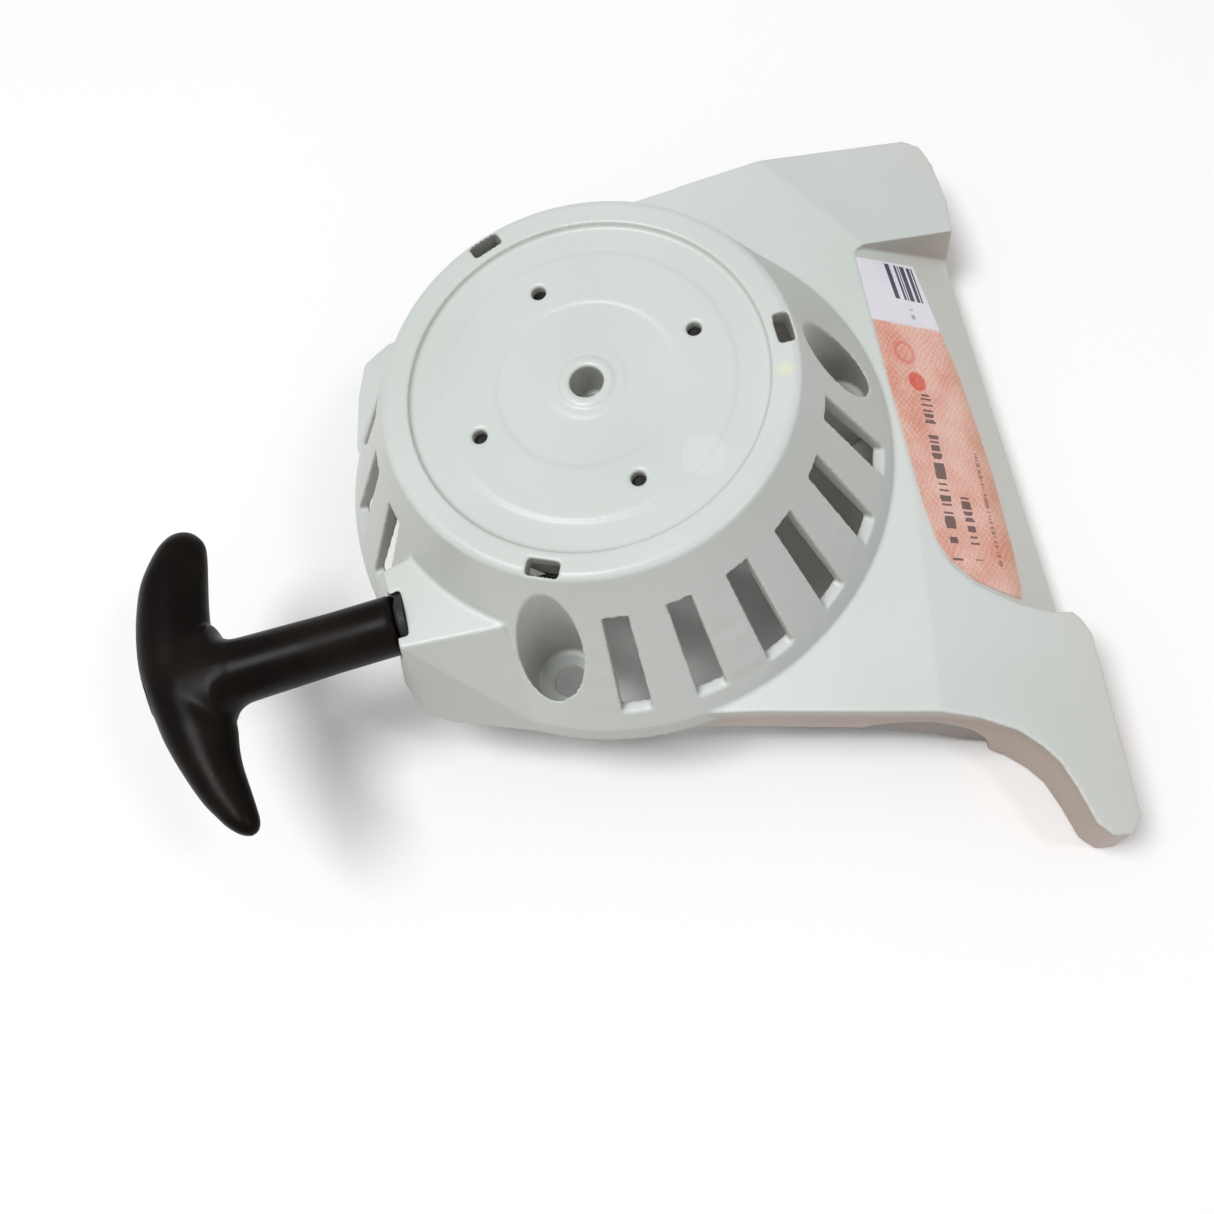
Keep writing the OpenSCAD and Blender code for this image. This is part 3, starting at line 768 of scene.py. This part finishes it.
class STARTER_OT_grip(bpy.types.Operator):
    """Mould the T grip with the bore for its plug"""
    bl_idname = "starter.grip"
    bl_label = "Grip"

    def execute(self, context):
        s = context.scene.starter_grip
        half = (GRIP_HIGH.y - GRIP_LOW.y) / 2
        bar_x = GRIP_LOW.x + s.bar_width / 2 + 1.4 * MM
        widen = s.bar_width / (20 * MM)
        stations = []
        for along, sweep, width in eased(BAR, 3):
            centre = Vector((bar_x + half * sweep, ROPE_Y + half * along, ROPE_Z))
            stations.append((centre, max(0.3 * MM, half * width * widen)))
        bar = loft(stations, 40, BAR_FLAT)
        neck = bar_x + 9.5 * MM
        flare = 6 * MM
        stem = []
        radii = []
        for i in range(50):
            x = bar_x + (GRIP_HIGH.x - bar_x) * i / 49
            # how far into the flare of the neck, the rounded lip and the taper
            past = min(1.0, max(0.0, (neck + flare - x) / flare))
            lip = max(0.0, 1 - (GRIP_HIGH.x - x) / (0.9 * MM))
            taper = (x - neck) / (GRIP_HIGH.x - neck)
            stem.append(Vector((x, ROPE_Y, ROPE_Z)))
            radii.append(8.7 * MM - 0.9 * MM * max(0, min(1, taper * 1.6))
                         + flare * (1 - math.sqrt(1 - past * past))
                         - 0.8 * MM * lip * lip)
        cell = 0.5 * MM
        shank = tube(stem, radii, 48)
        for vertex in shank.vertices:
            # the shank widens sideways into the bar, never upwards
            out = vertex.co - Vector((vertex.co.x, ROPE_Y, ROPE_Z))
            vertex.co.z = ROPE_Z + out.z * min(1, s.bar_width * 0.45 / out.length)
        bore = PLUG_R + 0.1 * MM
        cutter = lathe(((0, -4 * MM), (bore, -4 * MM), (bore, 11 * MM), (0, 11 * MM)),
                       Vector((GRIP_LOW.x + 2 * MM, ROPE_Y, ROPE_Z)), 64)
        mesh = without(rounded(joined(bar, shank), cell, 26), cutter)
        grip = new_piece("grip_moulding", mesh, "grip_plastic", "grip")
        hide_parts("grip")
        return {"FINISHED"}


class STARTER_OT_rope(bpy.types.Operator):
    """Wind the rope on the rotor and run it to the grip"""
    bl_idname = "starter.rope"
    bl_label = "Rope"

    def execute(self, context):
        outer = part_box("rope_winding")[1].x - ROPE_R
        inner = outer - 3.3 * MM
        path = []
        turns = 4
        per_turn = 48
        # the first layer climbs the groove, then the rope steps out over it
        layer = 2.9
        step_out = 2.7
        rise = ROPE_R * 2.04
        for i in range(turns * per_turn + 1):
            k = i / per_turn
            level = (min(k, layer) / layer * 2 - 1) * rise
            r = inner
            if k >= step_out:
                r += (outer - inner) * min(1, (k - step_out) / 0.5)
            if k > layer:
                level -= (k - layer) / 1.1 * rise
            path.append(polar(r, -96 + 360 * (k - turns), ROPE_Z + level))
        coil = new_piece("rope_coil", tube(path, ROPE_R * ROPE_DRAWN, 18), "rope_fibre",
                         "rotor")
        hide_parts("rope_winding")
        start = Vector((ROPE_HIGH.x, ROPE_Y, ROPE_Z))
        end = Vector((ROPE_LOW.x, ROPE_Y, ROPE_Z))
        count = 160
        run = [start.lerp(end, i / count) for i in range(count + 1)]
        line = new_piece("rope_line", tube(run, ROPE_R * ROPE_DRAWN, 18), "rope_fibre",
                         None)
        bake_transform(line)
        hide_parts("rope_run")
        return {"FINISHED"}


def knot(centre, size, radius, turn):
    """Overhand knot of rope around the X axis, as a closed tube."""
    path = []
    for i in range(96):
        a = math.tau * i / 96
        p = Vector((0.42 * math.sin(3 * a),
                    math.sin(a) + 2 * math.sin(2 * a),
                    math.cos(a) - 2 * math.cos(2 * a)))
        p.y *= 0.36
        p.z *= 0.36
        path.append(centre + turn @ (p * size))
    return tube(path, radius, 14, closed=True)


class STARTER_OT_knots(bpy.types.Operator):
    """Tie the rope's two end knots and fit the grip's plug"""
    bl_idname = "starter.knots"
    bl_label = "Knots and plug"

    def execute(self, context):
        low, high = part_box("grip_knot")
        centre = Vector(((low.x + high.x) / 2, ROPE_Y, ROPE_Z))
        size = (high.x - low.x) * 0.52
        flat = Matrix.Identity(3)
        piece = new_piece("grip_rope_knot", knot(centre, size, ROPE_R * 0.72, flat),
                          "rope_fibre", "grip")
        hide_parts("grip_knot")
        low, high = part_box("rotor_knot")
        upright = Matrix.Rotation(math.radians(110), 3, "Z")
        piece = new_piece("rotor_rope_knot",
                          knot((low + high) / 2, (high.z - low.z) * 0.40,
                               ROPE_R * 0.62, upright), "rope_fibre", "rotor")
        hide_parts("rotor_knot")
        low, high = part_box("grip_plug")
        depth = high.x - low.x
        # cap with a groove inside its rim
        shares = ((0, 0), (0.2, 0), (0.4, 0), (0.6, 0), (0.76, 0.01), (0.79, 0.08),
                  (0.83, 0.08), (0.86, 0.01), (0.96, 0.02), (1, 0.06), (1, 0.90),
                  (0.97, 0.94), (0, 0.94))
        outline = [(out * PLUG_R, deep * depth) for out, deep in shares]
        mesh = lathe(outline, Vector((low.x + CAP_SET, ROPE_Y, ROPE_Z)), 72)
        # its face follows the round and the lean of the bar
        wide = context.scene.starter_grip.bar_width / 2
        for vertex in mesh.vertices:
            if vertex.co.x < low.x + CAP_SET + depth / 2:
                rise = (vertex.co.z - ROPE_Z) / (BAR_FLAT * wide)
                vertex.co.x += wide * (1 - math.sqrt(1 - rise * rise))
                vertex.co.x -= CAP_LEAN * (vertex.co.y - ROPE_Y)
        piece = new_piece("grip_cap", mesh, "grip_plastic", "grip")
        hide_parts("grip_plug")
        return {"FINISHED"}


class STARTER_OT_carried(bpy.types.Operator):
    """Give every frame node that stays its own finish"""
    bl_idname = "starter.carried"
    bl_label = "Mechanism"

    def execute(self, context):
        slots = {part["node"]: part["material_slot"]
                 for part in frame["record"]["subparts"]}
        for name, node in NODES.items():
            mesh = node.data
            mesh.materials.clear()
            mesh.materials.append(finish(slots[name]))
        return {"FINISHED"}


class STARTER_OT_stage(bpy.types.Operator):
    """Floor, soft light and camera"""
    bl_idname = "starter.stage"
    bl_label = "Stage"

    def execute(self, context):
        s = context.scene.starter_stage
        scene = context.scene
        bpy.ops.mesh.primitive_plane_add(size=6, location=(0, 0, COVER_LOW.z - 0.4 * MM))
        floor = context.active_object
        floor.name = "floor"
        floor.data.materials.append(finish("floor_paint"))
        world = bpy.data.worlds.new("soft_room")
        world.use_nodes = True
        world.node_tree.nodes["Background"].inputs[0].default_value = (0.96, 0.97, 1, 1)
        world.node_tree.nodes["Background"].inputs[1].default_value = 0.45
        scene.world = world
        for name, spot, size, power in (
                ("key", (-0.45, 0.0, 1.65), 0.7, s.key),
                ("glint", (0.50, -0.30, 0.92), 0.13, s.key * 0.06)):
            light = bpy.data.lights.new(name, "AREA")
            light.shape = "DISK"
            light.size = size
            light.energy = power
            lamp = bpy.data.objects.new(name, light)
            scene.collection.objects.link(lamp)
            lamp.location = spot
            lamp.rotation_euler = (-Vector(spot)).to_track_quat("-Z", "Y").to_euler()
        camera = bpy.data.cameras.new("camera")
        camera.lens = s.lens
        camera.sensor_width = 36
        holder = bpy.data.objects.new("camera", camera)
        scene.collection.objects.link(holder)
        look = Vector(CAMERA_LOOK).normalized()
        right = look.cross(Vector(CAMERA_UP)).normalized()
        up = right.cross(look).normalized()
        turn = Matrix((right, up, -look)).transposed().to_4x4()
        holder.matrix_world = Matrix.Translation(CAMERA_AT) @ turn
        scene.camera = holder
        scene.view_settings.view_transform = "Standard"
        return {"FINISHED"}


class STARTER_PT_panel(bpy.types.Panel):
    """Buttons and settings of the starter"""
    bl_idname = "STARTER_PT_panel"
    bl_label = "Recoil starter"
    bl_space_type = "VIEW_3D"
    bl_region_type = "UI"
    bl_category = "Starter"

    def draw(self, context):
        for operator in OPERATORS:
            self.layout.operator(operator.bl_idname)
        for name, kind in SETTINGS.items():
            box = self.layout.box()
            for key in kind.__annotations__:
                box.prop(getattr(context.scene, name), key)


OPERATORS = (STARTER_OT_cover, STARTER_OT_label, STARTER_OT_grip, STARTER_OT_rope,
             STARTER_OT_knots, STARTER_OT_carried, STARTER_OT_stage)


def register():
    for name, kind in SETTINGS.items():
        bpy.utils.register_class(kind)
        setattr(bpy.types.Scene, name, PointerProperty(type=kind))
    for kind in (*OPERATORS, STARTER_PT_panel):
        bpy.utils.register_class(kind)


def unregister():
    for kind in reversed((*OPERATORS, STARTER_PT_panel)):
        bpy.utils.unregister_class(kind)
    for name, kind in SETTINGS.items():
        delattr(bpy.types.Scene, name)
        bpy.utils.unregister_class(kind)


def main():
    register()
    for operator in OPERATORS:
        group, name = operator.bl_idname.split(".")
        getattr(getattr(bpy.ops, group), name)()


if __name__ == "__main__":
    main()
